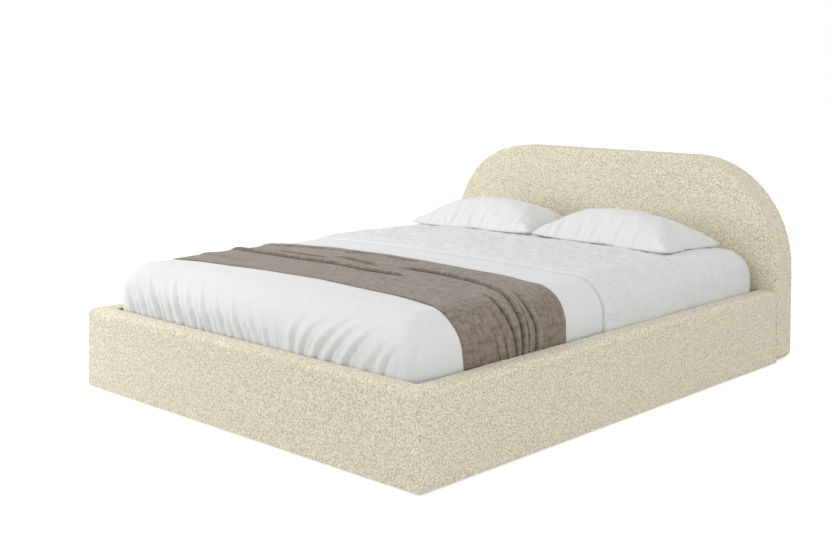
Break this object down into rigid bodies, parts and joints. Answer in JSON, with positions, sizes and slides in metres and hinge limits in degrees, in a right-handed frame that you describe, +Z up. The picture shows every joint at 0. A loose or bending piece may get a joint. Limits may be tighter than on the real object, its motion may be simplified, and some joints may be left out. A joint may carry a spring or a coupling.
{
  "type": "upholstered bed",
  "caption": "Lift-up storage bed with a padded, round-cornered headboard and box sides to the floor, dressed with mattress, sheet, coverlet, throw and pillows.",
  "frame": {"origin": "on the floor, under the middle of the bed's footprint", "axes": "+Y towards the headboard, +Z up, +X to the right seen from the foot"},
  "size_m": [1.79, 2.242, 0.835],
  "materials": {
    "boucle": "nubbly looped wool, cream",
    "lining": "plain woven lining",
    "timber": "planed softwood",
    "slat_wood": "lacquered beech",
    "black_board": "black faced board",
    "black_steel": "satin black powder coat",
    "bright_steel": "ground and plated rod",
    "glide_plastic": "matt black",
    "webbing": "black woven webbing",
    "ticking": "woven mattress ticking",
    "sheet_cotton": "white cotton, creased",
    "coverlet_cotton": "white cotton, smooth",
    "throw_weave": "taupe slubbed weave",
    "pillow_cotton": "white cotton, filled"
  },
  "bodies": {
    "base": {"side_rail_core_left": "timber", "side_rail_cover_left": "boucle", "corner_bracket_foot_left": "black_steel", "corner_bracket_head_left": "black_steel", "support_ledge_left": "timber", "floor_panel_left": "black_board", "glide_foot_left": "glide_plastic", "glide_mid_left": "glide_plastic", "glide_head_left": "glide_plastic", "hinge_plate_left": "black_steel", "side_rail_core_right": "timber", "side_rail_cover_right": "boucle", "corner_bracket_foot_right": "black_steel", "corner_bracket_head_right": "black_steel", "support_ledge_right": "timber", "floor_panel_right": "black_board", "glide_foot_right": "glide_plastic", "glide_mid_right": "glide_plastic", "glide_head_right": "glide_plastic", "hinge_plate_right": "black_steel", "footboard_core": "timber", "footboard_cover": "boucle", "headboard_cover": "boucle", "headboard_panel": "timber", "headboard_frame": "timber", "headboard_back_panel": "lining", "head_cross_rail": "timber", "floor_batten": "timber"},
    "lift_arms": {"lift_arm_left": "black_steel", "lift_arm_right": "black_steel"},
    "control_links": {"control_link_left": "black_steel", "control_link_right": "black_steel"},
    "strut_cylinders": {"gas_cylinder_left": "black_steel", "gas_cylinder_right": "black_steel"},
    "strut_rods": {"gas_rod_left": "bright_steel", "gas_rod_right": "bright_steel"},
    "platform": {"side_tube_left": "black_steel", "side_tube_right": "black_steel", "foot_tube": "black_steel", "head_tube": "black_steel", "centre_tube": "black_steel", "pull_strap": "webbing", "mattress": "ticking", "fitted_sheet": "sheet_cotton", "coverlet": "coverlet_cotton", "throw": "throw_weave", "pillow_left": "pillow_cotton", "pillow_right": "pillow_cotton", "slat_01": "slat_wood", "slat_02": "slat_wood", "slat_03": "slat_wood", "slat_04": "slat_wood", "slat_05": "slat_wood", "slat_06": "slat_wood", "slat_07": "slat_wood", "slat_08": "slat_wood", "slat_09": "slat_wood", "slat_10": "slat_wood", "slat_11": "slat_wood", "slat_12": "slat_wood"}
  },
  "joints": [
    {"name": "arm_lift", "type": "hinge", "parent": "base", "child": "lift_arms", "pos_m": [0, 0.57, 0.228], "axis": [1, 0, 0], "range_deg": [0, 70]},
    {"name": "platform_tilt", "type": "hinge", "parent": "lift_arms", "child": "platform", "pos_m": [0, 0.8, 0.232], "axis": [-1, 0, 0], "range_deg": [0, 110]},
    {"name": "link_swing", "type": "hinge", "parent": "base", "child": "control_links", "pos_m": [0, 0.4134, 0.1112], "axis": [1, 0, 0], "range_deg": [0, 53.2]},
    {"name": "strut_swing", "type": "hinge", "parent": "base", "child": "strut_cylinders", "pos_m": [0, 0.13, 0.2], "axis": [-1, 0, 0], "range_deg": [0, 5]},
    {"name": "strut_extend", "type": "slide", "parent": "strut_cylinders", "child": "strut_rods", "axis": [0, 0.9989, -0.0469], "range_m": [0, 0.0975]}
  ],
  "couplings": [
    {"joint": "platform_tilt", "follows": "arm_lift", "ratio": 1.5714},
    {"joint": "link_swing", "follows": "arm_lift", "ratio": 0.75876},
    {"joint": "strut_swing", "follows": "arm_lift", "ratio": 0.069883},
    {"joint": "strut_extend", "follows": "arm_lift", "m_per_rad": 0.07955}
  ]
}
